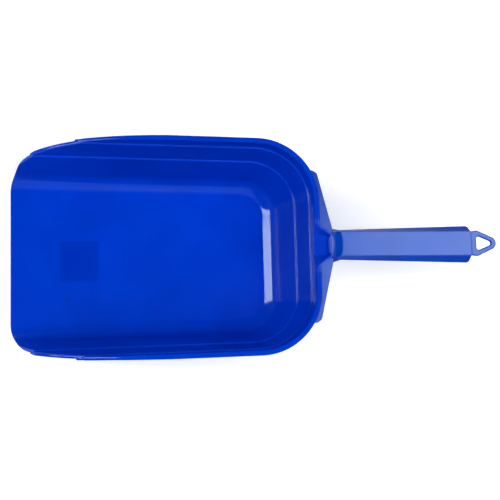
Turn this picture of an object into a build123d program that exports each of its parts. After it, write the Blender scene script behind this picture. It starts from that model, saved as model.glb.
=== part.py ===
from build123d import *
from math import cos, radians, sin, sqrt, tan
import os

# Feed scoop moulded in one piece: an open pan with a terraced wall, and a channel
# handle that ends in a hanging loop.  Millimetres.  The scoop rests on its flat
# floor: +X runs from the mouth to the handle, +Z up, and the origin is the centre
# of the footprint of the whole scoop, at the level that it rests on.

# ---- Overall sizes ----
overall_length = 368.0
pan_length = 231.2
pan_depth = 77.4
wall = 2.4

# ---- Floor outline: the flat part of the floor, inside the round to the walls ----
mouth_floor_width = 105.2
side_taper = 1.0
floor_corner_radius = 15.2
floor_seam = 1.0

# ---- Wall section, from the floor up ----
floor_round = 13.0
lower_draft = 15.8
lower_ledge_height = 40.7
middle_draft = 10.8
upper_ledge_height = 64.8
upper_draft = 3.0
ledge_width = 1.2
ledge_round = 0.8

# ---- Cut of the mouth: a quarter ellipse from the side, round corners from above ----
mouth_cut_run = 118.0
mouth_corner_spread = 13.8
mouth_corner_radius = 25.0
mouth_corner_flare = 30.0
cut_margin = 20.0

# ---- Lip round the rim ----
lip_overhang = 1.6
lip_start_overhang = 0.3
lip_start_rise = 0.5
lip_thickness = 2.6

# ---- Throat, the pocket where the rear wall runs out into the handle ----
throat_depth = 8.9
throat_drop = 5.7
throat_lead = 3.2
throat_rim_width = 38.0
throat_end_width = 14.6

# ---- Grip, a channel that is open underneath ----
grip_rise = 7.5
grip_ramp_run = 5.4
grip_width = 18.4
grip_wall = 2.4
flange_depth = 7.5
flange_root_flare = 2.1
flange_end_flare = 5.1
flange_end_round = 2.0
web_depth = 13.0
web_run = 5.0
rib_count = 5
rib_thickness = 1.8
rib_depth = 4.0

# ---- Hanging loop ----
loop_length = 20.3
loop_end_radius = 5.0
loop_shoulder_radius = 3.0
loop_shoulder_width = 19.8
loop_shoulder_offset = 4.8
hole_corner_radius = 1.9
hole_back_width = 10.2
hole_length = 11.7
hole_border = 4.2

# ---- Gussets, the wings under the lip on each side of the handle ----
gusset_root_drop = 1.6
gusset_root_width = 24.8
gusset_slope = 0.09
gusset_thickness = 2.4
gusset_edge_depth = 6.0
gusset_edge_width = 2.2
gusset_shoulder_reach = 1.8
gusset_shoulder_width = 111.5
gusset_tip_reach = -2.0
gusset_tip_width = 117.0
gusset_corner_radius = 3.0

# ---- Worked out from the sizes above ----
mouth_x = -overall_length / 2
tip_x = overall_length / 2
sharp_base = floor_round * tan(radians((90 - lower_draft) / 2))
lower_inset = sharp_base + (lower_ledge_height - wall) * tan(radians(lower_draft))
middle_start = lower_inset + ledge_width
middle_inset = middle_start + (upper_ledge_height - lower_ledge_height) * tan(radians(middle_draft))
upper_start = middle_inset + ledge_width
rim_inset = upper_start + (pan_depth - upper_ledge_height) * tan(radians(upper_draft))
rim_outer = rim_inset + wall + lip_overhang

floor_rear_x = mouth_x + pan_length - rim_outer
corner_x = floor_rear_x - floor_corner_radius
half_floor_at_corner = mouth_floor_width / 2 - (corner_x - mouth_x) * tan(radians(side_taper))
corner_y = half_floor_at_corner - floor_corner_radius / cos(radians(side_taper))
side_out = Vector(sin(radians(side_taper)), cos(radians(side_taper)), 0)
side_start = Vector(corner_x, corner_y, 0) + side_out * floor_corner_radius
side_length = (side_start.X - mouth_x) / cos(radians(side_taper)) + 2 * wall
cut_half_width = mouth_floor_width / 2 + rim_outer + cut_margin
mouth_corner_y = mouth_floor_width / 2 + mouth_corner_spread
lip_start_height = upper_ledge_height + lip_start_rise
lip_start_x = mouth_x + mouth_cut_run * (1 - sqrt(1 - (upper_ledge_height / pan_depth) ** 2))
lip_full_x = mouth_x + mouth_cut_run

rim_x = floor_rear_x + rim_inset + wall
throat_inner_x = floor_rear_x + middle_inset - throat_lead
throat_end_x = rim_x + throat_depth
throat_floor_height = pan_depth - throat_drop
grip_start_x = throat_end_x + wall
grip_end_x = tip_x - loop_length
grip_top = pan_depth + grip_rise
grip_flat_x = grip_start_x + grip_ramp_run
plate_half_width = grip_width / 2 - grip_wall

rear_plane = Plane(origin=(floor_rear_x, corner_y, 0), x_dir=(1, 0, 0), z_dir=(0, -1, 0))
side_plane = Plane(
    origin=side_start, x_dir=side_out, z_dir=(cos(radians(side_taper)), -sin(radians(side_taper)), 0)
)
corner_axis = Axis((corner_x, corner_y, 0), (0, 0, 1))


def face_line(shift, base):
    """Points of a face of the wall, as distance out from the floor's flat and height.

    shift is how far the face stands outside the inner face, and base its lowest height."""
    draft = radians(lower_draft)
    low = shift / cos(draft)
    return [
        (-floor_seam, base),
        (sharp_base - (wall - base) * tan(draft) + low, base),
        (lower_inset + low - shift * tan(draft), lower_ledge_height - shift),
        (middle_start + shift, lower_ledge_height - shift),
        (middle_inset + shift, upper_ledge_height - shift),
        (upper_start + shift, upper_ledge_height - shift),
        (rim_inset + shift, pan_depth),
    ]


def band_between(plane, near_shift, far_shift):
    """Cross-section of what lies between two faces of the wall, on a plane across it."""
    near = face_line(near_shift, wall - near_shift)
    far = face_line(far_shift, wall - far_shift)
    with BuildSketch(plane) as section:
        with BuildLine():
            FilletPolyline(*near, radius=[floor_round + near_shift] + [ledge_round] * 4)
            Line(near[-1], far[-1])
            FilletPolyline(*far, radius=[floor_round + far_shift] + [ledge_round] * 4)
            Line(far[0], near[0])
        make_face()
    return section.sketch


def wall_section(plane):
    """Cross-section of the pan's wall."""
    return band_between(plane, 0.0, wall)


def lip_section(plane):
    """Cross-section of the band that the lip is cut from, just outside the wall."""
    return band_between(plane, wall, wall + lip_overhang)


def filled_section(plane):
    """Cross-section of the wall and the space inside it, up to the rim."""
    outer = face_line(wall, 0.0)
    with BuildSketch(plane) as section:
        with BuildLine():
            FilletPolyline(*outer, radius=[floor_round + wall] + [ledge_round] * 4)
            Polyline(outer[-1], (outer[0][0], pan_depth), outer[0])
        make_face()
    return section.sketch


def rear_run(section_on):
    """A cross-section carried along the rear of the pan and round both its corners."""
    with BuildPart() as corner:
        revolve(section_on(rear_plane), axis=corner_axis, revolution_arc=90 - side_taper)
    with BuildPart() as run:
        extrude(section_on(rear_plane), amount=2 * corner_y)
        add(corner.part)
        mirror(corner.part, about=Plane.XZ)
    return run.part


def side_run(section_on):
    """A cross-section carried along the left side of the pan, past the mouth."""
    with BuildPart() as run:
        extrude(section_on(side_plane), amount=-side_length)
    return run.part


def side_y(x, outset):
    """How far from the middle a line stands that runs outset outside the floor's side."""
    half_floor = mouth_floor_width / 2 - (x - mouth_x) * tan(radians(side_taper))
    return half_floor + outset / cos(radians(side_taper))


def behind_mouth(shrink):
    """Everything behind the cut of the mouth and under the rim, with both cut back by shrink."""
    top = pan_depth - shrink
    with BuildPart() as space:
        with BuildSketch(Plane.XZ):
            with BuildLine():
                cut = EllipticalCenterArc(
                    (lip_full_x, 0), mouth_cut_run - shrink, top, start_angle=90, arc_size=90
                )
                Polyline(cut @ 0, (tip_x, top), (tip_x, 0), cut @ 1)
            make_face()
        extrude(amount=cut_half_width, both=True)
    return space.part


def throat_form(low_height, grow):
    """The throat from low_height up: a slot that opens towards the pan as it rises."""
    with BuildPart() as form:
        with BuildSketch(Plane.XY.offset(low_height)):
            with Locations(((throat_inner_x + throat_end_x) / 2, 0)):
                Rectangle(throat_end_x - throat_inner_x + 2 * grow, throat_end_width + 2 * grow)
        with BuildSketch(Plane.XY.offset(pan_depth)):
            with BuildLine():
                Polyline(
                    (throat_inner_x, -throat_rim_width / 2),
                    (throat_end_x, -throat_end_width / 2),
                    (throat_end_x, throat_end_width / 2),
                    (throat_inner_x, throat_rim_width / 2),
                    close=True,
                )
            make_face()
            if grow:
                offset(amount=grow, kind=Kind.INTERSECTION)
        loft(ruled=True)
    return form.part


# ---- Cutting shapes, not pieces of the scoop ----
with BuildPart() as mouth_side:
    with BuildSketch():
        flare_run = (cut_half_width - mouth_corner_y) / tan(radians(mouth_corner_flare))
        with BuildLine():
            Polyline(
                (mouth_x, -mouth_corner_y),
                (mouth_x + flare_run, -cut_half_width),
                (tip_x, -cut_half_width),
                (tip_x, cut_half_width),
                (mouth_x + flare_run, cut_half_width),
                (mouth_x, mouth_corner_y),
                close=True,
            )
        make_face()
        fillet(vertices().group_by(Axis.X)[0], radius=mouth_corner_radius)
    extrude(amount=pan_depth)
    add(behind_mouth(0.0), mode=Mode.INTERSECT)

with BuildPart() as outside_lip:
    with BuildSketch() as outside_plan:
        full_y = side_y(lip_full_x, rim_outer)
        start_y = side_y(lip_start_x, rim_outer - lip_overhang + lip_start_overhang)
        mouth_y = full_y + (start_y - full_y) * mouth_cut_run / (lip_full_x - lip_start_x)
        with BuildLine():
            Polyline(
                (mouth_x, mouth_y),
                (lip_full_x, full_y),
                (lip_full_x, cut_half_width),
                (mouth_x, cut_half_width),
                close=True,
            )
        make_face()
        mirror(outside_plan.sketch, about=Plane.XZ)
    extrude(amount=pan_depth)

with BuildPart() as pan_space:
    add(rear_run(filled_section))
    add(side_run(filled_section))

throat_hollow = throat_form(throat_floor_height, 0.0)
throat_block = throat_form(throat_floor_height - wall, wall)

# ---- Pan ----
with BuildPart() as pan_floor:
    with BuildSketch():
        inset = floor_seam / cos(radians(side_taper))
        mouth_half = mouth_floor_width / 2 - inset
        rear_x = floor_rear_x - floor_seam
        rear_half = mouth_half - (rear_x - mouth_x) * tan(radians(side_taper))
        with BuildLine():
            Polyline(
                (mouth_x, -mouth_half),
                (rear_x, -rear_half),
                (rear_x, rear_half),
                (mouth_x, mouth_half),
                close=True,
            )
        make_face()
        fillet(vertices().group_by(Axis.X)[-1], radius=floor_corner_radius - floor_seam)
    extrude(amount=wall)
    add(mouth_side.part, mode=Mode.INTERSECT)

with BuildPart() as left_wall:
    add(side_run(wall_section))
    add(mouth_side.part, mode=Mode.INTERSECT)

with BuildPart() as right_wall:
    mirror(left_wall.part, about=Plane.XZ)

with BuildPart() as rear_wall:
    add(rear_run(wall_section))
    add(throat_hollow, mode=Mode.SUBTRACT)

with BuildPart() as throat:
    add(throat_block)
    add(pan_space.part, mode=Mode.SUBTRACT)
    add(throat_hollow, mode=Mode.SUBTRACT)

with BuildPart() as rim_lip:
    add(rear_run(lip_section))
    add(side_run(lip_section))
    mirror(side_run(lip_section), about=Plane.XZ)
    add(mouth_side.part, mode=Mode.INTERSECT)
    add(behind_mouth(lip_thickness), mode=Mode.SUBTRACT)
    add(outside_lip.part, mode=Mode.SUBTRACT)
    split(bisect_by=Plane.XY.offset(lip_start_height), keep=Keep.TOP)
    add(throat_block, mode=Mode.SUBTRACT)

# ---- Grip ----
def grip_section(x, flare, inset, top):
    """Outline across the grip at x: a trapezium that flares downwards."""
    low = top - web_depth
    half_top = grip_width / 2 - inset + flare / flange_depth * (grip_top - top)
    half_low = half_top + flare / flange_depth * web_depth
    with BuildSketch(Plane.YZ.offset(x)) as section:
        with BuildLine():
            Polyline((-half_top, top), (half_top, top), (half_low, low), (-half_low, low), close=True)
        make_face()
    return section.sketch


with BuildPart() as grip_block:
    add(grip_section(grip_start_x, flange_root_flare, 0.0, grip_top))
    add(grip_section(grip_end_x, flange_end_flare, 0.0, grip_top))
    loft(ruled=True)

with BuildPart() as grip_hollow:
    add(grip_section(grip_start_x, flange_root_flare, grip_wall, grip_top - grip_wall))
    add(grip_section(grip_end_x, flange_end_flare, grip_wall, grip_top - grip_wall))
    loft(ruled=True)

# Seen from the side, the top of the plate leaves the rim and ramps up to the flat.
ramp_low = (grip_start_x, pan_depth)
ramp_high = (grip_flat_x, grip_top)
slope_length = Vector(grip_ramp_run, grip_rise).length
ramp_half_turn = grip_wall * (slope_length - grip_ramp_run) / grip_rise

with BuildPart() as above_plate:
    with BuildSketch(Plane.XZ):
        with BuildLine():
            Polyline(
                ramp_low,
                ramp_high,
                (grip_end_x, grip_top),
                (grip_end_x, grip_top + web_depth),
                (grip_start_x, grip_top + web_depth),
                close=True,
            )
        make_face()
    extrude(amount=cut_half_width, both=True)

with BuildPart() as under_plate:
    with BuildSketch(Plane.XZ):
        with BuildLine():
            under_corner = grip_flat_x + ramp_half_turn
            under_start = pan_depth - grip_wall * slope_length / grip_ramp_run
            Polyline(
                (grip_start_x, under_start),
                (under_corner, grip_top - grip_wall),
                (grip_end_x, grip_top - grip_wall),
                (grip_end_x, 0),
                (grip_start_x, 0),
                close=True,
            )
        make_face()
    extrude(amount=cut_half_width, both=True)

with BuildPart() as below_flanges:
    flange_foot = grip_top - flange_depth
    web_foot = grip_top - web_depth
    with BuildSketch(Plane.XZ):
        with BuildLine():
            Polyline(
                (grip_start_x, web_foot),
                (grip_start_x + web_run, flange_foot),
                (grip_end_x - flange_end_round, flange_foot),
            )
            RadiusArc(
                (grip_end_x - flange_end_round, flange_foot),
                (grip_end_x, flange_foot + flange_end_round),
                -flange_end_round,
            )
            Polyline(
                (grip_end_x, flange_foot + flange_end_round),
                (grip_end_x, 0),
                (grip_start_x, 0),
                (grip_start_x, web_foot),
            )
        make_face()
    extrude(amount=cut_half_width, both=True)

with BuildPart() as channel_hollow:
    add(grip_hollow.part)
    add(under_plate.part, mode=Mode.INTERSECT)

with BuildPart() as channel:
    add(grip_block.part)
    add(above_plate.part, mode=Mode.SUBTRACT)
    add(channel_hollow.part, mode=Mode.SUBTRACT)
    add(below_flanges.part, mode=Mode.SUBTRACT)

left_edge_plane = Plane.XZ.offset(-plate_half_width)
right_edge_plane = Plane.XZ.offset(plate_half_width)

with BuildPart() as grip_plate:
    add(channel.part)
    split(bisect_by=left_edge_plane, keep=Keep.TOP)
    split(bisect_by=right_edge_plane, keep=Keep.BOTTOM)

with BuildPart() as left_grip_flange:
    add(channel.part)
    split(bisect_by=left_edge_plane, keep=Keep.BOTTOM)

with BuildPart() as right_grip_flange:
    mirror(left_grip_flange.part, about=Plane.XZ)

with BuildPart() as grip_ribs:
    rib_pitch = (grip_end_x - grip_flat_x) / (rib_count + 1)
    for number in range(1, rib_count + 1):
        with Locations((grip_flat_x + number * rib_pitch, 0, grip_top - grip_wall)):
            Box(
                rib_thickness,
                2 * grip_width,
                rib_depth,
                align=(Align.CENTER, Align.CENTER, Align.MAX),
            )
    add(channel_hollow.part, mode=Mode.INTERSECT)

# ---- Gussets ----
gusset_root_top = pan_depth - gusset_root_drop
inside_x = corner_x + floor_corner_radius
gusset_outline = [
    (inside_x, plate_half_width),
    (grip_start_x, plate_half_width),
    (grip_start_x, gusset_root_width / 2),
    (rim_x + gusset_shoulder_reach, gusset_shoulder_width / 2),
    (rim_x + gusset_tip_reach, gusset_tip_width / 2),
    (inside_x, corner_y + floor_corner_radius),
]


def sloping_slab(depth):
    """Slab under the gusset's sloping top face, as deep as depth, seen along X."""
    far = gusset_tip_width
    near_top = gusset_root_top + gusset_slope * gusset_root_width / 2
    far_top = near_top - gusset_slope * far
    with BuildPart() as slab:
        with BuildSketch(Plane.YZ):
            with BuildLine():
                Polyline((0, near_top), (far, far_top), (far, far_top - depth), (0, near_top - depth), close=True)
            make_face()
        extrude(amount=tip_x)
    return slab.part


with BuildPart() as gusset_plate:
    with BuildSketch():
        with BuildLine():
            Polyline(*gusset_outline, close=True)
        make_face()
        fillet(vertices().sort_by(Axis.Y)[-2:], radius=gusset_corner_radius)
    extrude(amount=pan_depth)
    add(sloping_slab(gusset_thickness), mode=Mode.INTERSECT)

with BuildPart() as gusset_edge:
    with BuildSketch():
        with BuildLine():
            Polyline(*gusset_outline, close=True)
        make_face()
        fillet(vertices().sort_by(Axis.Y)[-2:], radius=gusset_corner_radius)
        offset(amount=-gusset_edge_width, mode=Mode.SUBTRACT)
    extrude(amount=pan_depth)
    add(sloping_slab(gusset_edge_depth), mode=Mode.INTERSECT)
    split(bisect_by=Plane.XZ.offset(-gusset_root_width / 2), keep=Keep.BOTTOM)

with BuildPart() as left_gusset:
    add(gusset_plate.part)
    add(gusset_edge.part)
    add(pan_space.part, mode=Mode.SUBTRACT)
    add(throat_block, mode=Mode.SUBTRACT)
    add(rim_lip.part, mode=Mode.SUBTRACT)

with BuildPart() as right_gusset:
    mirror(left_gusset.part, about=Plane.XZ)


# ---- Hanging loop ----
with BuildPart() as hang_loop:
    with BuildSketch(Plane.XY.offset(grip_top - grip_wall)):
        shoulder_x = grip_end_x + loop_shoulder_offset
        shoulder_y = loop_shoulder_width / 2 - loop_shoulder_radius
        with BuildSketch(mode=Mode.PRIVATE) as ring:
            with Locations((tip_x - loop_end_radius, 0)):
                Circle(loop_end_radius)
            with Locations((shoulder_x, shoulder_y), (shoulder_x, -shoulder_y)):
                Circle(loop_shoulder_radius)
            make_hull()
        add(ring.sketch)
        with BuildLine():
            Polyline(
                (grip_end_x, -grip_width / 2),
                (shoulder_x, -loop_shoulder_width / 2),
                (shoulder_x, loop_shoulder_width / 2),
                (grip_end_x, grip_width / 2),
                close=True,
            )
        make_face()
        with BuildSketch(mode=Mode.PRIVATE) as eye:
            point_x = tip_x - hole_border - hole_corner_radius
            back_x = tip_x - hole_border - hole_length + hole_corner_radius
            back_y = hole_back_width / 2 - hole_corner_radius
            with Locations((point_x, 0), (back_x, back_y), (back_x, -back_y)):
                Circle(hole_corner_radius)
            make_hull()
        add(eye.sketch, mode=Mode.SUBTRACT)
    extrude(amount=grip_wall)

# ---- Write each piece of the scoop ----
pieces = {
    "pan_floor": pan_floor,
    "left_wall": left_wall,
    "right_wall": right_wall,
    "rear_wall": rear_wall,
    "rim_lip": rim_lip,
    "throat": throat,
    "left_gusset": left_gusset,
    "right_gusset": right_gusset,
    "grip_plate": grip_plate,
    "left_grip_flange": left_grip_flange,
    "right_grip_flange": right_grip_flange,
    "grip_ribs": grip_ribs,
    "hang_loop": hang_loop,
}

os.makedirs("parts", exist_ok=True)
for name, piece in pieces.items():
    piece.part.label = name
    export_step(piece.part, f"parts/{name}.step")
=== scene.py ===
# %% [markdown]
# # A moulded feed scoop
# The real scoop is one injection moulding in glossy blue plastic: an open pan, a rim with a
# lip, a small throat, and a channel handle with a hanging loop.  The CAD model fixes where
# everything stands.  Blender only dresses it, so the CAD model is loaded first and stays put.

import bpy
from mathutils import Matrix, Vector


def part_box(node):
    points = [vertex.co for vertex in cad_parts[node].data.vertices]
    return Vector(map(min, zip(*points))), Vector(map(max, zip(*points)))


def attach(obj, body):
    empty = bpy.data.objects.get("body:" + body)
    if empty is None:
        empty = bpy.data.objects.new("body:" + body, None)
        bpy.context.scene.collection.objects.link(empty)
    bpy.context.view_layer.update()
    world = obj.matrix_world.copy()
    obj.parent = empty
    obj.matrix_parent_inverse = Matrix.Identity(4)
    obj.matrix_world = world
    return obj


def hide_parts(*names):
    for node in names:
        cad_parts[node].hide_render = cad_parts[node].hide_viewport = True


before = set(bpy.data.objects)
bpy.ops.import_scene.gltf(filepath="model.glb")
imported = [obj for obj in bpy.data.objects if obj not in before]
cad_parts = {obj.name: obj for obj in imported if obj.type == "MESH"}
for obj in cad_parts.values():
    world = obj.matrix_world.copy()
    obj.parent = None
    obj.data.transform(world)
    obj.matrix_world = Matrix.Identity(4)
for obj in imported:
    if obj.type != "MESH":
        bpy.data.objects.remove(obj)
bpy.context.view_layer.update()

# %% Names used all through the lesson
from math import cos, pi, radians, sin, sqrt, tan

import bmesh
import bpy
import numpy as np
from mathutils import Matrix, Vector

MM = 0.001
scene = bpy.context.scene

# %% [markdown]
# ## The camera
# A camera that looks almost straight down shows the inside of the pan.  It is aimed with two
# small tilts, and its roll is a turn about its own line of sight.  The matrix is built from
# three axes, which is more exact than angles typed into the rotation boxes.

# %% Place the camera
camera_target = Vector((-0.7, 0.62, 42.4)) * MM
camera_distance = 800 * MM
tilt_to_mouth = radians(10.61)
tilt_to_side = radians(6.81)
camera_roll = radians(-1.55)
lens_mm = 74.15

sight = Vector((-tan(tilt_to_mouth), -tan(tilt_to_side), 1)).normalized()
level_x = (-sight).cross(Vector((0, 1, 0))).normalized()
level_y = level_x.cross(-sight)
camera_x = level_x * cos(camera_roll) + level_y * sin(camera_roll)
camera_y = level_y * cos(camera_roll) - level_x * sin(camera_roll)
camera_place = camera_target + sight * camera_distance

camera_data = bpy.data.cameras.new("scoop_camera")
camera_data.lens = lens_mm
camera_data.sensor_width = 36
camera = bpy.data.objects.new("scoop_camera", camera_data)
camera_turn = Matrix((camera_x, camera_y, sight)).transposed().to_4x4()
camera.matrix_world = Matrix.Translation(camera_place) @ camera_turn
scene.collection.objects.link(camera)
scene.camera = camera
print("camera at", [round(v, 3) for v in camera_place])

# %% [markdown]
# ## The light
# Gloss shows what stands round it.  This studio is dark overhead, so the floor of the pan
# stays a deep blue.  One softbox over the handle's side gives the pale sheen on the handle,
# and a narrow one over the mouth gives the bright strip along the rear.  A dim one at the
# side lifts the round at the foot of the far wall.  A fourth fills the shadows: it colours
# the plastic without showing in its gloss, as a distant sky would.

# %% Softboxes
def softbox(name, centre, aim, size, radiance, seen_by):
    """A rectangular area light facing a point; radiance is its red, green and blue.

    seen_by says what it lights: the "gloss", the "colour" under the gloss, or "both"."""
    data = bpy.data.lights.new(name, "AREA")
    data.shape = "RECTANGLE"
    data.size, data.size_y = size
    strongest = max(radiance)
    data.energy = strongest * pi * size[0] * size[1]
    data.color = [part / strongest for part in radiance]
    lamp = bpy.data.objects.new(name, data)
    towards = (Vector(centre) - Vector(aim)).normalized()
    along = Vector((0, 1, 0)).cross(towards).normalized()
    across = towards.cross(along)
    turn = Matrix((along, across, towards)).transposed().to_4x4()
    lamp.matrix_world = Matrix.Translation(centre) @ turn
    lamp.visible_diffuse = seen_by != "gloss"
    lamp.visible_glossy = seen_by != "colour"
    scene.collection.objects.link(lamp)
    return lamp


middle = (0, 0, 0)
softbox("handle_softbox", (0.99, 0, 1.5), (0.99, 0, 0), (1.11, 1.2), (7.0, 7.6, 7.6), "gloss")
softbox("mouth_softbox", (-1.25, 0.16, 1.35), (0, 0.05, 0.05), (2.05, 0.34), (11, 11, 10.5), "both")
softbox("side_softbox", (0, -1.25, 1.7), middle, (1.1, 3.2), (0.30, 0.55, 0.65), "gloss")
softbox("fill_softbox", (0.65, -0.60, 2.1), middle, (1.8, 1.8), (4.4, 4.4, 4.4), "colour")

# %% World, pale at the horizon and dark overhead
world = bpy.data.worlds.new("studio")
world.use_nodes = True
scene.world = world
tree = world.node_tree
direction = tree.nodes.new("ShaderNodeTexCoord")
split = tree.nodes.new("ShaderNodeSeparateXYZ")
ramp = tree.nodes.new("ShaderNodeValToRGB")
horizon, overhead = ramp.color_ramp.elements
horizon.position = 0.28
horizon.color = (0.25, 0.42, 0.60, 1)
overhead.position = 0.55
overhead.color = (0.0, 0.03, 0.05, 1)
tree.links.new(direction.outputs["Generated"], split.inputs[0])
tree.links.new(split.outputs["Z"], ramp.inputs["Fac"])
tree.links.new(ramp.outputs["Color"], tree.nodes["Background"].inputs["Color"])
tree.nodes["Background"].inputs["Strength"].default_value = 0.45
scene.view_settings.view_transform = "Standard"
print("world is", [round(part, 2) for part in horizon.color], "at the horizon")

# %% [markdown]
# ## The blue plastic
# The whole scoop is one material, but it isn't even: a moulded sheet has faint ripples, the
# floor of the pan is dulled and lightly scratched by use, and the handle was spark-textured
# in the mould, so it is satin.  All patterns are worked out from Object coordinates, so they
# stay put on the piece.

# %% Helpers for materials
def node(tree, kind, inputs=None, **settings):
    """A new node with its settings and the defaults of its input sockets."""
    made = tree.nodes.new(kind)
    for name, value in settings.items():
        setattr(made, name, value)
    for name, value in (inputs or {}).items():
        made.inputs[name].default_value = value
    return made


def noise(tree, place, scale, detail=2.0, stretch=(1, 1, 1), turn=0.0):
    """Noise on the piece's own coordinates, stretched and turned about the vertical."""
    mapping = node(tree, "ShaderNodeMapping", {"Scale": stretch, "Rotation": (0, 0, turn)})
    texture = node(tree, "ShaderNodeTexNoise", {"Scale": scale, "Detail": detail})
    tree.links.new(place.outputs["Object"], mapping.inputs["Vector"])
    tree.links.new(mapping.outputs["Vector"], texture.inputs["Vector"])
    return texture.outputs["Fac"]


def between(tree, value, low, high, to_low, to_high, smooth=False):
    """Maps a value from one range to another, clamped."""
    made = node(tree, "ShaderNodeMapRange", interpolation_type="SMOOTHSTEP" if smooth else "LINEAR")
    ends = {"From Min": low, "From Max": high, "To Min": to_low, "To Max": to_high}
    for name, number in ends.items():
        made.inputs[name].default_value = number
    tree.links.new(value, made.inputs["Value"])
    return made.outputs["Result"]


def math(tree, operation, first, second=None):
    """One sum on two values, which may be sockets or numbers."""
    made = node(tree, "ShaderNodeMath", operation=operation)
    for socket, value in zip(made.inputs, (first, second)):
        if isinstance(value, (int, float)):
            socket.default_value = value
        elif value is not None:
            tree.links.new(value, socket)
    return made.outputs[0]


def mix_colour(tree, amount, first, second):
    """Two colours mixed by a value."""
    made = node(tree, "ShaderNodeMix", data_type="RGBA")
    tree.links.new(amount, made.inputs["Factor"])
    for socket, value in ((made.inputs[6], first), (made.inputs[7], second)):
        if isinstance(value, tuple):
            socket.default_value = value
        else:
            tree.links.new(value, socket)
    return made.outputs[2]


# %% Shared start of both finishes
deep_blue = (0.0, 0.031, 0.45, 1)
light_blue = (0.0, 0.037, 0.51, 1)
handle_deep_blue = (0.0, 0.040, 0.37, 1)
handle_light_blue = (0.0, 0.046, 0.42, 1)
plastic_ior = 1.49
cool_sheen = (0.80, 0.95, 1.0, 1)


def new_plastic(name):
    """A material, its tree and shader, and the coordinates of the piece, whole and split."""
    made = bpy.data.materials.new(name)
    made.use_nodes = True
    tree = made.node_tree
    shader = tree.nodes["Principled BSDF"]
    shader.inputs["IOR"].default_value = plastic_ior
    shader.inputs["Specular Tint"].default_value = cool_sheen
    place = tree.nodes.new("ShaderNodeTexCoord")
    split = tree.nodes.new("ShaderNodeSeparateXYZ")
    tree.links.new(place.outputs["Object"], split.inputs[0])
    return made, tree, shader, place, split.outputs


def step_up(tree, value, low, high, to_low, to_high):
    """Maps a value in metres, given its range in millimetres, with soft ends."""
    return between(tree, value, low * MM, high * MM, to_low, to_high, smooth=True)


def set_bump(tree, shader, height, distance, strength):
    """Height in a bump node on the shader's normal."""
    bump = node(tree, "ShaderNodeBump", {"Distance": distance, "Strength": strength})
    tree.links.new(height, bump.inputs["Height"])
    tree.links.new(bump.outputs["Normal"], shader.inputs["Normal"])


# %% Gloss of the pan: dulled on the floor, strong at its foot, weaker up the wall
floor_gloss = 0.06
foot_gloss = 0.45
wall_share = 0.6
rim_dulling = 0.95


def pan_gloss(tree, axes):
    """How strongly each place of the pan reflects."""
    z = axes["Z"]
    low = step_up(tree, z, 2.5, 2.9, floor_gloss, foot_gloss)
    high = step_up(tree, z, 12, 22, 1.0, wall_share)
    on_rim = step_up(tree, z, 72.5, 73.5, 0, 1)
    aside = step_up(tree, math(tree, "ABSOLUTE", axes["Y"]), 14, 22, 0, rim_dulling)
    left = math(tree, "SUBTRACT", 1.0, math(tree, "MULTIPLY", on_rim, aside))
    return math(tree, "MULTIPLY", math(tree, "MULTIPLY", low, high), left)


# %% Colour of the pan, with a faint square ghost on its floor
ghost_middle = {"X": -130.6, "Y": -2.8}
ghost_half = {"X": 15.2, "Y": 15.8}
ghost_blur = 1.6
ghost_strength = 0.30
ghost_colour = (0.0, 0.006, 0.22, 1)
smudge_place = (-140.0, -33.5, 2.4)
smudge_strength = 0.30
smudge_colour = (0.004, 0.03, 0.16, 1)


def pan_colour(tree, place, axes):
    """Blue that varies a little, with the ghost and a small smudge."""
    clouds = noise(tree, place, 22, 3)
    colour = mix_colour(tree, between(tree, clouds, 0.35, 0.65, 0, 1), deep_blue, light_blue)
    ghost = between(tree, axes["Z"], 1.0 * MM, 1.4 * MM, 0, ghost_strength)
    for axis, middle in ghost_middle.items():
        half = ghost_half[axis]
        away = math(tree, "ABSOLUTE", math(tree, "SUBTRACT", axes[axis], middle * MM))
        side = step_up(tree, away, half - ghost_blur, half + ghost_blur, 1, 0)
        ghost = math(tree, "MULTIPLY", ghost, side)
    colour = mix_colour(tree, ghost, colour, ghost_colour)
    spot = tuple(Vector(smudge_place) * MM)
    smudge = node(tree, "ShaderNodeVectorMath", {1: spot}, operation="DISTANCE")
    tree.links.new(place.outputs["Object"], smudge.inputs[0])
    dirt = step_up(tree, smudge.outputs["Value"], 0.5, 3.5, smudge_strength, 0)
    return mix_colour(tree, dirt, colour, smudge_colour)


# %% Glossy plastic of the pan, with ripples and scratches
def glossy_pan():
    """Gloss with the marks of moulding and of use."""
    made, tree, shader, place, axes = new_plastic("glossy_blue_plastic")
    tree.links.new(pan_colour(tree, place, axes), shader.inputs["Base Color"])
    tree.links.new(pan_gloss(tree, axes), shader.inputs["Specular IOR Level"])
    scuffs = noise(tree, place, 60, 4, stretch=(1.0, 14.0, 14.0), turn=radians(12))
    cross_scuffs = noise(tree, place, 75, 4, stretch=(12.0, 0.8, 12.0), turn=radians(-25))
    along = between(tree, scuffs, 0.66, 0.74, 0, 1)
    across = between(tree, cross_scuffs, 0.68, 0.76, 0, 1)
    scratched = math(tree, "MAXIMUM", along, across)
    smooth = between(tree, noise(tree, place, 14, 3), 0.3, 0.7, 0.05, 0.13)
    rough = math(tree, "ADD", smooth, math(tree, "MULTIPLY", scratched, 0.10))
    tree.links.new(rough, shader.inputs["Roughness"])
    ripple = noise(tree, place, 26, 2)
    grain = math(tree, "MULTIPLY", noise(tree, place, 420, 2), 0.012)
    relief = math(tree, "ADD", ripple, grain)
    height = math(tree, "SUBTRACT", relief, math(tree, "MULTIPLY", scratched, 0.02))
    set_bump(tree, shader, height, 0.25 * MM, 0.35)
    return made


# %% Satin plastic of the handle and its wings, duller on the handle's sides
satin_gloss = 0.34
side_dulling = 0.95


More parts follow.
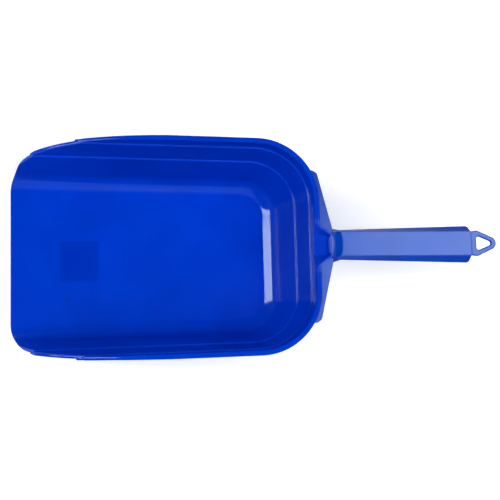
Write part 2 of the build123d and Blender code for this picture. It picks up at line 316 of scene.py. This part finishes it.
def satin_handle():
    """Satin, from a fine texture eroded into the mould."""
    made, tree, shader, place, axes = new_plastic("satin_blue_plastic")
    clouds = between(tree, noise(tree, place, 30, 3), 0.35, 0.65, 0, 1)
    colour = mix_colour(tree, clouds, handle_deep_blue, handle_light_blue)
    tree.links.new(colour, shader.inputs["Base Color"])
    on_handle = step_up(tree, axes["X"], 57.5, 58.5, 0, 1)
    under_top = step_up(tree, axes["Z"], 84.0, 84.7, side_dulling, 0)
    left = math(tree, "SUBTRACT", 1.0, math(tree, "MULTIPLY", on_handle, under_top))
    gloss = math(tree, "MULTIPLY", left, satin_gloss)
    tree.links.new(gloss, shader.inputs["Specular IOR Level"])
    handled = between(tree, noise(tree, place, 45, 3), 0.3, 0.7, 0.16, 0.26)
    tree.links.new(handled, shader.inputs["Roughness"])
    set_bump(tree, shader, noise(tree, place, 1500, 2), 0.02 * MM, 0.6)
    return made


glossy_blue = glossy_pan()
satin_blue = satin_handle()
print("finishes:", glossy_blue.name, satin_blue.name)

# %% [markdown]
# ## Sizes of the pan
# The places that pieces must keep are read from the CAD boxes.  The slopes and steps of the
# terraced wall are written once, here, in millimetres, as a mould maker's drawing has them.

# %% Places read from the frame
floor_low, floor_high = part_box("pan_floor")
plate_low, plate_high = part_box("grip_plate")
wall_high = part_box("rear_wall")[1]
mouth_x = floor_low.x
wall = floor_high.z
rim_z = wall_high.z
grip_start_x = plate_low.x
grip_end_x = plate_high.x
grip_top = plate_high.z
throat_end_x = grip_start_x - wall
throat_floor_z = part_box("throat")[0].z + wall

# %% Sizes of the terraced wall and of the cut of the mouth
floor_seam = 1.0 * MM
floor_rear_x = floor_high.x + floor_seam
mouth_floor_width = 105.2 * MM
side_taper = radians(1.0)
floor_corner_radius = 15.2 * MM
floor_round = 13.0 * MM
lower_draft = radians(15.8)
lower_ledge_height = 40.7 * MM
middle_draft = radians(10.8)
upper_ledge_height = 64.8 * MM
upper_draft = radians(3.0)
ledge_width = 1.2 * MM
ledge_round = 0.5 * MM
mouth_cut_run = 118.0 * MM
mouth_corner_width = 132.8 * MM
mouth_corner_radius = 25.0 * MM
mouth_corner_flare = radians(30.0)
edge_round = 0.8 * MM

sharp_base = floor_round * tan((pi / 2 - lower_draft) / 2)
lower_inset = sharp_base + (lower_ledge_height - wall) * tan(lower_draft)
middle_start = lower_inset + ledge_width
middle_inset = middle_start + (upper_ledge_height - lower_ledge_height) * tan(middle_draft)
upper_start = middle_inset + ledge_width
rim_inset = upper_start + (rim_z - upper_ledge_height) * tan(upper_draft)
print("inner rim stands", round(rim_inset / MM, 1), "mm outside the flat of the floor")

# %% [markdown]
# ## The section of the wall
# The wall has the same section all round: a large round at the floor, then three sloping
# bands with two narrow ledges between them.  A section that is carried along a path is the
# quickest way to a clean sheet, and it keeps the ledges parallel all the way round.

# %% A line with rounded corners
def rounded_line(corners, radii, leg_steps, arc_steps, last_grade=1):
    """Points along a line with rounded corners: always as many, whatever the sizes.

    last_grade above 1 crowds the points of the last leg towards its end."""
    corners = [Vector(corner) for corner in corners]
    points = [corners[0]]
    for index, radius in enumerate(radii, start=1):
        into = (corners[index] - corners[index - 1]).normalized()
        out = (corners[index + 1] - corners[index]).normalized()
        turn = into.angle_signed(out)
        reach = radius * tan(abs(turn) / 2)
        start = corners[index] - into * reach
        leg_start = points[-1]
        steps = leg_steps[index - 1]
        points += [leg_start.lerp(start, step / steps) for step in range(1, steps + 1)]
        inward = Vector((into.y, -into.x)) if turn > 0 else Vector((-into.y, into.x))
        centre = start + inward * radius
        for step in range(1, arc_steps[index - 1] + 1):
            angle = abs(turn) * step / arc_steps[index - 1]
            points.append(centre - inward * radius * cos(angle) + into * radius * sin(angle))
    leg_start = points[-1]
    steps = leg_steps[-1]
    for step in range(1, steps + 1):
        points.append(leg_start.lerp(corners[-1], 1 - (1 - step / steps) ** last_grade))
    return points


# %% Corners of the inner and outer face of the wall
def wall_corners(shift):
    """Corners of the face that stands shift outside the inner one, out from the floor's edge."""
    low = shift / cos(lower_draft)
    return [
        (0, wall - shift),
        (sharp_base - shift * tan(lower_draft) + low, wall - shift),
        (lower_inset + low - shift * tan(lower_draft), lower_ledge_height - shift),
        (middle_start + shift, lower_ledge_height - shift),
        (middle_inset + shift, upper_ledge_height - shift),
        (upper_start + shift, upper_ledge_height - shift),
        (rim_inset + shift, rim_z - edge_round),
    ]


leg_steps = [0, 14, 2, 14, 5, 16]
arc_steps = [14, 5, 5, 5, 5]


def wall_face(shift):
    """Points of that face from the floor's edge to the rim."""
    radii = [floor_round + shift] + [ledge_round] * 4
    return rounded_line(wall_corners(shift), radii, leg_steps, arc_steps, last_grade=2)


inner_face = wall_face(0)
outer_face = wall_face(wall)
face_count = len(inner_face)

# %% The rounded top edge, and the whole section
edge_steps = 8
edge_squareness = 0.75


def edge_layers():
    """Steps across the wall's edge: share of its thickness, and how far the edge falls back."""
    layers = []
    for step in range(edge_steps + 1):
        angle = pi * step / edge_steps
        across = (1 - abs(cos(angle)) ** edge_squareness * (1 if angle < pi / 2 else -1)) / 2
        layers.append((across, edge_round * (1 - max(sin(angle), 0) ** edge_squareness)))
    return layers


layers = edge_layers()
top_edge = []
for across, fallen in layers[1:-1]:
    point = inner_face[-1].lerp(outer_face[-1], across)
    top_edge.append(Vector((point.x, rim_z - fallen)))
section = inner_face + top_edge + outer_face[::-1]
face_fall = [edge_round] * face_count
section_fall = face_fall + [fallen for _, fallen in layers[1:-1]] + face_fall
print("section has", len(section), "points")

# %% [markdown]
# ## The path of the wall
# Seen from above, the edge of the flat floor runs back from the mouth, round a corner and
# across the rear.  At the middle of the rear, the wall above the upper ledge runs out into
# the throat, a pocket that opens towards the pan.  Its outline is drawn first, because the
# path needs as many points there as the outline has.

# %% Outline of the throat at one height
throat_rim_half = 19.0 * MM
throat_end_half = 7.3 * MM
throat_mouth_round = 7.0 * MM
throat_end_round = 2.6 * MM
throat_floor_edge = 1.0 * MM
throat_lead = 3.2 * MM
sharpest = 0.3 * MM
throat_reach = 25.0 * MM
throat_inner_x = floor_rear_x + middle_inset - throat_lead


def wall_out(height):
    """How far the inner face of the top band stands out from the floor's edge."""
    return upper_start + (height - upper_ledge_height) * tan(upper_draft)


def throat_outline(height, outset):
    """Half outline, from the side to the middle, of a face outset outside the throat's own."""
    share = min(max((height - throat_floor_z) / (rim_z - throat_floor_z), 0), 1)
    start_half = throat_end_half + (throat_rim_half - throat_end_half) * share
    side = Vector((throat_end_x - throat_inner_x, throat_end_half - start_half)).normalized()
    slope = side.y / side.x
    lift = outset / side.x
    front_x = floor_rear_x + wall_out(max(height, upper_ledge_height)) + outset
    end_x = throat_end_x + outset
    corners = [
        (front_x, throat_reach),
        (front_x, start_half + (front_x - throat_inner_x) * slope + lift),
        (end_x, start_half + (end_x - throat_inner_x) * slope + lift),
        (end_x, 0),
    ]
    mouth_round = throat_floor_edge + (throat_mouth_round - throat_floor_edge) * share
    radii = [max(mouth_round - outset, sharpest), throat_end_round]
    return rounded_line(corners, radii, [6, 12, 6], [8, 8])


print("half outline of the throat has", len(throat_outline(rim_z, 0)), "points")

# %% Half of the path, and the whole path
corner_x = floor_rear_x - floor_corner_radius
half_floor = mouth_floor_width / 2 - (corner_x - mouth_x) * tan(side_taper)
corner_y = half_floor - floor_corner_radius / cos(side_taper)
side_steps = 60
corner_steps = 40
rear_steps = 6


def path_half():
    """Points of the floor's edge from the mouth, along the left side, to the middle of the rear."""
    out = Vector((sin(side_taper), cos(side_taper)))
    start = Vector((corner_x, corner_y)) + out * floor_corner_radius
    mouth = Vector((mouth_x, start.y + (start.x - mouth_x) * tan(side_taper)))
    points = [mouth.lerp(start, step / side_steps) for step in range(side_steps + 1)]
    for step in range(1, corner_steps + 1):
        angle = (pi / 2 - side_taper) * (1 - step / corner_steps)
        spoke = Vector((cos(angle), sin(angle)))
        points.append(Vector((corner_x, corner_y)) + spoke * floor_corner_radius)
    for step in range(1, rear_steps):
        y = corner_y + (throat_reach - corner_y) * step / rear_steps
        points.append(Vector((floor_rear_x, y)))
    points += [Vector((floor_rear_x, point.y)) for point in throat_outline(rim_z, 0)]
    return points


left_path = path_half()
floor_path = left_path + [Vector((point.x, -point.y)) for point in left_path[-2::-1]]
path_count = len(floor_path)
print("path has", path_count, "points")

# %% [markdown]
# ## Carrying a section along a path with Geometry Nodes
# Curve to Mesh sweeps one curve along another.  Set Curve Normal keeps the section upright,
# which it wouldn't be round corners otherwise.  The tree takes the two curves and the scale
# of the section as named inputs, so the lip of the rim uses the same tree as the wall.

# %% The tree
def add_socket(tree, name, kind, default=None):
    """A named input of the tree."""
    socket = tree.interface.new_socket(name, in_out="INPUT", socket_type=kind)
    if default is not None:
        socket.default_value = default
    return socket


def sweep_tree():
    """Sweeps Section along Path, with the section's X pointing out and its Y up."""
    tree = bpy.data.node_groups.new("carry_section_along_path", "GeometryNodeTree")
    add_socket(tree, "Geometry", "NodeSocketGeometry")
    add_socket(tree, "Path", "NodeSocketObject")
    add_socket(tree, "Section", "NodeSocketObject")
    add_socket(tree, "Section Scale", "NodeSocketFloat", 1.0)
    add_socket(tree, "Close Ends", "NodeSocketBool", False)
    add_socket(tree, "Finish", "NodeSocketMaterial")
    tree.interface.new_socket("Geometry", in_out="OUTPUT", socket_type="NodeSocketGeometry")
    given = tree.nodes.new("NodeGroupInput")
    result = tree.nodes.new("NodeGroupOutput")
    path = tree.nodes.new("GeometryNodeObjectInfo")
    profile = tree.nodes.new("GeometryNodeObjectInfo")
    upright = tree.nodes.new("GeometryNodeSetCurveNormal")
    upright.mode = "Z_UP"
    flip = node(tree, "ShaderNodeVectorMath", {0: (-1, -1, 1)}, operation="SCALE")
    turn = tree.nodes.new("GeometryNodeTransform")
    sweep = tree.nodes.new("GeometryNodeCurveToMesh")
    smooth = tree.nodes.new("GeometryNodeSetShadeSmooth")
    real = tree.nodes.new("GeometryNodeRealizeInstances")
    finish = tree.nodes.new("GeometryNodeSetMaterial")
    link = tree.links.new
    link(given.outputs["Path"], path.inputs["Object"])
    link(given.outputs["Section"], profile.inputs["Object"])
    link(given.outputs["Section Scale"], flip.inputs["Scale"])
    link(profile.outputs["Geometry"], turn.inputs["Geometry"])
    link(flip.outputs["Vector"], turn.inputs["Scale"])
    link(path.outputs["Geometry"], upright.inputs["Curve"])
    link(upright.outputs["Curve"], sweep.inputs["Curve"])
    link(turn.outputs["Geometry"], sweep.inputs["Profile Curve"])
    link(given.outputs["Close Ends"], sweep.inputs["Fill Caps"])
    link(sweep.outputs["Mesh"], smooth.inputs["Geometry"])
    link(smooth.outputs["Geometry"], real.inputs["Geometry"])
    link(real.outputs["Geometry"], finish.inputs["Geometry"])
    link(given.outputs["Finish"], finish.inputs["Material"])
    link(finish.outputs["Geometry"], result.inputs["Geometry"])
    return tree


sweeper = sweep_tree()


# %% Run a tree and keep its result as a plain mesh
def line_curve(name, points, closed=False):
    """A curve of straight runs through points."""
    data = bpy.data.curves.new(name, "CURVE")
    data.dimensions = "3D"
    spline = data.splines.new("POLY")
    spline.points.add(len(points) - 1)
    for place, point in zip(spline.points, points):
        place.co = (*Vector(point).to_3d(), 1)
    spline.use_cyclic_u = closed
    made = bpy.data.objects.new(name, data)
    scene.collection.objects.link(made)
    return made


def run_tree(name, tree, **inputs):
    """A mesh object made by the tree, with no modifier left on it."""
    piece = bpy.data.objects.new(name, bpy.data.meshes.new(name))
    scene.collection.objects.link(piece)
    modifier = piece.modifiers.new(name, "NODES")
    modifier.node_group = tree
    for item in tree.interface.items_tree:
        if item.in_out == "INPUT" and item.name.replace(" ", "_") in inputs:
            modifier[item.identifier] = inputs[item.name.replace(" ", "_")]
    graph = bpy.context.evaluated_depsgraph_get()
    graph.update()
    made = bpy.data.meshes.new_from_object(piece.evaluated_get(graph))
    piece.modifiers.clear()
    piece.data = made
    return piece


def carry(name, path, profile, finish, closed=False):
    """A section, drawn in millimetres, carried along a path of points."""
    path_curve = line_curve(name + "_path", path)
    profile_curve = line_curve(name + "_section", [point / MM for point in profile], closed)
    piece = run_tree(
        name,
        sweeper,
        Path=path_curve,
        Section=profile_curve,
        Section_Scale=MM,
        Close_Ends=closed,
        Finish=finish,
    )
    for curve in (path_curve, profile_curve):
        bpy.data.objects.remove(curve)
    print(name, len(piece.data.vertices), "points")
    return piece


pan_shell = carry("pan_shell", floor_path, section, glossy_blue)

# %% [markdown]
# ## Shaping the swept wall
# The sweep has one row of points for each point of the path, so it can be read as a grid.
# Two rules then move its points.  The sides are shortened so that they end on the cut of the
# mouth, which is a quarter ellipse from the side and a round corner from above.  The top band
# of the rear is moved out to the outline of the throat.

# %% The grid of points
grid = np.array([v.co for v in pan_shell.data.vertices]).reshape(path_count, len(section), 3)

# %% Run the top band out into the throat
throat_first = side_steps + corner_steps + rear_steps
band_steps = leg_steps[-1]
band_first = face_count - band_steps
floor_edge_round = 0.5 * MM
floor_foot_round = 0.4 * MM
climb_steps = 3
end_steps_up = 5
throat_floor_tilt = 0.6 * MM


def throat_band(start, floor):
    """Height and share of the way to the throat's end, for each point of the top band.

    The band climbs the wall to the throat's floor, crosses it and climbs the throat's end."""
    climb = (floor - floor_edge_round - start) / climb_steps
    below = [(start + climb * step, 0) for step in range(1, climb_steps + 1)]
    edge = [(floor - 0.3 * floor_edge_round, 0.012), (floor, 0.04)]
    level = [(floor + throat_floor_tilt * share, share) for share in (0.30, 0.60, 0.88, 0.93)]
    floor += throat_floor_tilt
    base = floor + floor_foot_round
    foot = [(floor + 0.25 * floor_foot_round, 0.985), (base, 1)]
    rise = (rim_z - edge_round - base) / end_steps_up
    above = [(base + rise * step, 1) for step in range(1, end_steps_up + 1)]
    return below + edge + level + foot + above


def shape_throat_row(column, height, share, outset):
    """Moves one row of the section, on both sides, to the throat's outline at a height."""
    front_x = floor_rear_x + wall_out(height) + outset
    for step, target in enumerate(throat_outline(height, outset)):
        row = throat_first + step
        if share:
            place = (front_x + (target.x - front_x) * share, target.y, height)
        else:
            place = (front_x, grid[row, column][1], height)
        grid[row, column] = place
        grid[path_count - 1 - row, column] = (place[0], -place[1], place[2])


inner_band = throat_band(inner_face[band_first - 1].y, throat_floor_z)
outer_band = throat_band(outer_face[band_first - 1].y, throat_floor_z - wall)
for step, (height, share) in enumerate(inner_band):
    shape_throat_row(band_first + step, height, share, 0)
for step, (height, share) in enumerate(outer_band):
    shape_throat_row(len(section) - 1 - band_first - step, height, share, wall)
for column in range(face_count, face_count + len(top_edge)):
    point = section[column]
    shape_throat_row(column, point.y, 1, point.x - wall_out(point.y))


# %% End the sides on the cut of the mouth
def cut_x(y, z, fall):
    """Where the cut of the mouth stands, for an edge that falls back by fall."""
    height = min(max(z, 0) / (rim_z - fall), 1)
    from_side = mouth_x + mouth_cut_run - (mouth_cut_run - fall) * sqrt(1 - height**2)
    tangent = mouth_corner_radius * tan((pi / 2 - mouth_corner_flare) / 2)
    past = abs(y) - (mouth_corner_width / 2 - tangent)
    radius = mouth_corner_radius - fall
    turn = pi / 2 - mouth_corner_flare
    if past <= 0:
        from_above = mouth_x + fall
    elif past <= radius * sin(turn):
        from_above = mouth_x + mouth_corner_radius - sqrt(radius**2 - past**2)
    else:
        end_x = mouth_x + mouth_corner_radius - radius * cos(turn)
        from_above = end_x + (past - radius * sin(turn)) / tan(mouth_corner_flare)
    return max(from_side, from_above)


def end_on_cut(start, z, fall):
    """The point where a line from start, along the side, meets the cut of the mouth."""
    x, y = start[0], start[1]
    for _ in range(5):
        x = cut_x(y, z, fall)
        y = start[1] + (start[0] - x) * tan(side_taper)
    return np.array((x, y, z))


mirror_y = np.array((1, -1, 1))
for column, fall in enumerate(section_fall):
    start = grid[side_steps, column].copy()
    end = end_on_cut(start, start[2], fall)
    for row in range(side_steps):
        place = end + (start - end) * (row / side_steps)
        grid[row, column] = place
        grid[path_count - 1 - row, column] = place * mirror_y
pan_shell.data.vertices.foreach_set("co", grid.astype(np.float32).ravel())
print("mouth stands at", round(grid[0, 0, 0] / MM, 2), "mm")


# %% [markdown]
# ## Floor and front edge
# The floor closes the sheet between its two sides, above and below.  The front edge is
# rounded over with the same steps as the rim, so the two run into each other.

# %% Patches of the floor and of the rounded front edge
def add_patch(mesh, rows):
    """Four-sided faces over a grid of places."""
    made = [[mesh.verts.new(place) for place in row] for row in rows]
    for upper, lower in zip(made, made[1:]):
        for step in range(len(upper) - 1):
            mesh.faces.new((upper[step], upper[step + 1], lower[step + 1], lower[step]))


def across_floor(left, right):
    """Points from left to right, spaced as the rear of the path is."""
    first = side_steps + corner_steps
    ys = [point.y for point in floor_path[first : path_count - first]]
    return [left + (right - left) * (ys[0] - y) / (2 * ys[0]) for y in ys]


def front_edge():
    """Rows across the front edge of the left side: one for each point of the wall's face."""
    rows = []
    for step in range(face_count):
        inner = grid[side_steps, step]
        outer = grid[side_steps, len(section) - 1 - step]
        row = []
        for across, fallen in layers:
            start = inner + (outer - inner) * across
            height = rim_z - fallen if step == face_count - 1 else start[2]
            row.append(end_on_cut(start, height, fallen))
        rows.append(row)
    return rows


shell = bmesh.new()
shell.from_mesh(pan_shell.data)
for column in (0, len(section) - 1):
    rows = []
    for row in range(side_steps + corner_steps + 1):
        rows.append(across_floor(grid[row, column], grid[path_count - 1 - row, column]))
    add_patch(shell, rows)
left_edge = front_edge()
add_patch(shell, left_edge)
add_patch(shell, [[place * mirror_y for place in row] for row in left_edge])
add_patch(shell, [across_floor(place, place * mirror_y) for place in left_edge[0]])

# %% Merge, close and smooth the shell
merge_gap = 0.002 * MM


def finish_mesh(mesh, piece, crease=35):
    """Merges, turns the faces outwards and smooths a bmesh into a piece, sharp over crease."""
    bmesh.ops.remove_doubles(mesh, verts=mesh.verts, dist=merge_gap)
    bmesh.ops.dissolve_degenerate(mesh, edges=mesh.edges, dist=merge_gap)
    bmesh.ops.recalc_face_normals(mesh, faces=mesh.faces)
    for face in mesh.faces:
        face.smooth = True
    for edge in mesh.edges:
        edge.smooth = edge.calc_face_angle(0) < radians(crease)
    open_edges = sum(1 for edge in mesh.edges if len(edge.link_faces) != 2)
    mesh.to_mesh(piece.data)
    mesh.free()
    print(piece.name, len(piece.data.polygons), "faces,", open_edges, "open edges")


finish_mesh(shell, pan_shell)


def even_normals(piece):
    """Lets large faces rule the shading next to small rounds, so that flats look flat."""
    modifier = piece.modifiers.new("even_normals", "WEIGHTED_NORMAL")
    modifier.keep_sharp = True
    modifier.weight = 100


even_normals(pan_shell)
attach(pan_shell, "root")
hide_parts("pan_floor", "left_wall", "right_wall", "rear_wall", "throat")

# %% [markdown]
# ## The lip of the rim
# A lip stiffens the edge of a moulded pan.  It starts small at the upper ledge, grows along
# the cut of the mouth, and stops at the throat.  It is its own rounded section, carried along
# the outside of the rim and sunk a little into the wall, so no gap shows.

# %% Path and section of the lip
lip_overhang = 1.6 * MM
lip_start_overhang = 0.3 * MM
lip_start_rise = 0.5 * MM
lip_thickness = 2.6 * MM
lip_sunk = 0.8 * MM
lip_full_x = mouth_x + mouth_cut_run
lip_start_z = upper_ledge_height + lip_start_rise
lip_start_x = lip_full_x - mouth_cut_run * sqrt(1 - (lip_start_z / rim_z) ** 2)
lip_cut_steps = 24
lip_side_steps = 12
lip_crowding = 1.5
lip_end_y = 16.5 * MM


def lip_path():
    """Left half of the lip's path along the outer edge of the rim."""
    points = []
    for step in range(lip_cut_steps + 1):
        share = 1 - (1 - step / lip_cut_steps) ** lip_crowding
        x = lip_start_x + (lip_full_x - lip_start_x) * share
        z = rim_z * sqrt(1 - ((lip_full_x - x) / mouth_cut_run) ** 2)
        short = (lip_overhang - lip_start_overhang) * (1 - share)
        out = wall_out(z) + wall - short
        y = mouth_floor_width / 2 - (x - mouth_x) * tan(side_taper) + out / cos(side_taper)
        points.append(Vector((x, y, z)))
    radius = floor_corner_radius + rim_inset + wall
    centre = Vector((corner_x, corner_y, rim_z))
    start = centre + Vector((sin(side_taper), cos(side_taper), 0)) * radius
    last = points[-1]
    points += [last.lerp(start, step / lip_side_steps) for step in range(1, lip_side_steps + 1)]
    for step in range(1, corner_steps + 1):
        angle = (pi / 2 - side_taper) * (1 - step / corner_steps)
        points.append(centre + Vector((cos(angle), sin(angle), 0)) * radius)
    points.append(Vector((corner_x + radius, lip_end_y, rim_z)))
    return points


def rounded_box(low, high, radii, arc_points=6):
    """Corners of a rectangle from low to high, rounded, from its low inner corner round."""
    places = [(low[0], low[1]), (high[0], low[1]), (high[0], high[1]), (low[0], high[1])]
    points = []
    for index, (place, radius) in enumerate(zip(places, radii)):
        inwards = Vector((1 if place[0] == low[0] else -1, 1 if place[1] == low[1] else -1))
        centre = Vector(place) + inwards * radius
        first = pi + index * pi / 2
        for step in range(arc_points):
            angle = first + pi / 2 * step / (arc_points - 1)
            points.append(centre + Vector((cos(angle), sin(angle))) * radius)
    return points


lip_rounds = [0.15 * MM, 1.0 * MM, 1.1 * MM, 0.15 * MM]
lip_section = rounded_box((-lip_sunk, -lip_thickness), (lip_overhang, 0), lip_rounds)
left_lip_path = lip_path()
right_lip_path = [Vector((point.x, -point.y, point.z)) for point in left_lip_path[::-1]]
rolled_lip = carry("rolled_lip", left_lip_path, lip_section, glossy_blue, closed=True)
right_lip = carry("right_lip", right_lip_path, lip_section, glossy_blue, closed=True)
lips = bmesh.new()
lips.from_mesh(rolled_lip.data)
lips.from_mesh(right_lip.data)
bpy.data.objects.remove(right_lip)
finish_mesh(lips, rolled_lip)
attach(rolled_lip, "root")
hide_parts("rim_lip")

# %% [markdown]
# ## The grip
# The handle is a channel, open underneath: a flat plate with a flange down each side.  It
# rises from the rim in a dished ramp for the thumb.  Its section changes along its length, so
# it is built from cross-sections that all have the same number of points.

# %% Sizes of the grip
grip_width = 18.4 * MM
grip_wall = 2.4 * MM
flange_depth = 7.5 * MM
web_depth = 13.0 * MM
web_run = 5.0 * MM
flange_root_flare = 2.1 * MM
flange_end_flare = 5.1 * MM
flange_end_round = 2.0 * MM
grip_edge_round = 0.7 * MM
hollow_round = 0.4 * MM
ramp_side_run = 3.4 * MM
ramp_middle_run = 6.6 * MM
ramp_steepness = 1.15
grip_root_x = throat_end_x + wall / 2


# %% One cross-section of the grip
def grip_foot(x):
    """Height of the flanges' lower edge at x."""
    foot = grip_top - flange_depth
    if x < grip_start_x + web_run:
        share = 1 - max(x - grip_start_x, 0) / web_run
        foot -= (web_depth - flange_depth) * share
    over = x - (grip_end_x - flange_end_round)
    if over > 0:
        foot += flange_end_round - sqrt(max(flange_end_round**2 - over**2, 0))
    return foot


def ramp_drop(x, y):
    """How far the dished ramp lies under the plate's level."""
    spread = max(1 - (y / (grip_width / 2)) ** 2, 0)
    run = ramp_side_run + (ramp_middle_run - ramp_side_run) * sqrt(spread)
    share = min(max((x - grip_root_x) / run, 0), 1)
    return (grip_top - rim_z) * (1 - share**ramp_steepness)


def grip_outline(x, inset):
    """Half outline of the channel across the grip, inset from its outer face."""
    share = (x - grip_start_x) / (grip_end_x - grip_start_x)
    flare = flange_root_flare + (flange_end_flare - flange_root_flare) * share
    top = grip_top - inset
    foot = grip_foot(x)
    half_top = grip_width / 2 - inset + inset * flare / flange_depth
    half_foot = half_top + (top - foot) * flare / flange_depth
    corners = [(half_foot, foot), (half_top, top), (0, top)]
    radius = max(grip_edge_round - inset, hollow_round)
    points = rounded_line(corners, [radius], [6, 10], [6])
    return points + [Vector((-p.x, p.y)) for p in points[-2::-1]]


def grip_ring(x):
    """Closed cross-section: the outer face, then the inner face back again."""
    outer, inner = grip_outline(x, 0), grip_outline(x, grip_wall)
    ring = []
    for point in outer + inner[::-1]:
        height = max(point.y - ramp_drop(x, point.x), grip_foot(x))
        ring.append(Vector((x, point.x, height)))
    return ring


# %% Skin the grip
def skin(mesh, rings):
    """Faces between closed rings of points, and a strip over each open end."""
    made = [[mesh.verts.new(place) for place in ring] for ring in rings]
    for first, second in zip(made, made[1:]):
        for step in range(len(first)):
            after = (step + 1) % len(first)
            mesh.faces.new((first[step], first[after], second[after], second[step]))
    for ring in (made[0], made[-1]):
        half = len(ring) // 2
        for step in range(half - 1):
            mesh.faces.new((ring[step], ring[step + 1], ring[-step - 2], ring[-step - 1]))


ramp_steps = 26
plate_steps = 40
end_steps = 6
ramp_end_x = grip_root_x + ramp_middle_run
round_start_x = grip_end_x - flange_end_round
grip_stations = list(np.linspace(grip_root_x, ramp_end_x, ramp_steps + 1))
grip_stations += list(np.linspace(ramp_end_x, round_start_x, plate_steps + 1))[1:]
for step in range(1, end_steps + 1):
    grip_stations.append(round_start_x + flange_end_round * sin(pi / 2 * step / end_steps))
channel_grip = bpy.data.objects.new("channel_grip", bpy.data.meshes.new("channel_grip"))
scene.collection.objects.link(channel_grip)
channel_grip.data.materials.append(satin_blue)
channel = bmesh.new()
skin(channel, [grip_ring(x) for x in grip_stations])
finish_mesh(channel, channel_grip)


def soften_edges(piece, width, segments=3, angle=40):
    """Rounds every sharp edge of a piece a little, as a mould does."""
    modifier = piece.modifiers.new("soft_edges", "BEVEL")
    modifier.width = width
    modifier.segments = segments
    modifier.limit_method = "ANGLE"
    modifier.angle_limit = radians(angle)


soften_edges(channel_grip, 0.35 * MM, 2, 50)
even_normals(channel_grip)
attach(channel_grip, "root")
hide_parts("grip_plate", "left_grip_flange", "right_grip_flange")

# %% [markdown]
# ## Wings and hanging loop
# These are flat shapes with real corners, and the CAD model already has them right.  A copy
# of each is merged, and its edges are rounded over, because light catches a rounded edge.

# %% Softened copies of CAD nodes
def softened_copy(name, cad_node, width, finish):
    """A piece with the shape of a CAD node and rounded edges."""
    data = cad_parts[cad_node].data.copy()
    piece = bpy.data.objects.new(name, data)
    scene.collection.objects.link(piece)
    data.materials.clear()
    data.materials.append(finish)
    mesh = bmesh.new()
    mesh.from_mesh(data)
    bmesh.ops.remove_doubles(mesh, verts=mesh.verts, dist=merge_gap)
    bmesh.ops.dissolve_limit(mesh, angle_limit=radians(0.6), verts=mesh.verts, edges=mesh.edges)
    for face in mesh.faces:
        face.material_index = 0
    finish_mesh(mesh, piece)
    soften_edges(piece, width)
    even_normals(piece)
    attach(piece, "root")
    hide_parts(cad_node)
    return piece


softened = {"wing_left": "left_gusset", "wing_right": "right_gusset", "hanging_eye": "hang_loop"}
for name, cad_node in softened.items():
    softened_copy(name, cad_node, 0.8 * MM, satin_blue)

# %% [markdown]
# ## Ribs under the grip
# Five thin ribs cross the channel underneath.  Their CAD shape is right as it is, so the CAD
# node stays and only gets the finish.

# %% Finish of the CAD node that stays
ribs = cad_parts["grip_ribs"]
ribs.data.materials.clear()
ribs.data.materials.append(satin_blue)
for face in ribs.data.polygons:
    face.material_index = 0
print("ribs:", len(ribs.data.polygons), "faces")

# %% [markdown]
# ## The table
# A plain pale sheet to stand on.  It isn't part of the object.

# %% Pale table
half_table = 3.0
table_z = -0.05 * MM
table_glow = 0.35
ends = (-half_table, half_table)
table_data = bpy.data.meshes.new("table")
table_corners = [(ends[i], ends[j], table_z) for i, j in ((0, 0), (1, 0), (1, 1), (0, 1))]
table_data.from_pydata(table_corners, [], [(0, 1, 2, 3)])
table = bpy.data.objects.new("table", table_data)
scene.collection.objects.link(table)
white_sheet = bpy.data.materials.new("white_sheet")
white_sheet.use_nodes = True
sheet = white_sheet.node_tree.nodes["Principled BSDF"].inputs
sheet["Base Color"].default_value = (0.9, 0.9, 0.9, 1)
sheet["Roughness"].default_value = 0.9
sheet["Specular IOR Level"].default_value = 0.0
sheet["Emission Color"].default_value = (1, 1, 1, 1)
sheet["Emission Strength"].default_value = table_glow
table_data.materials.append(white_sheet)
print("table at", table_z / MM, "mm")
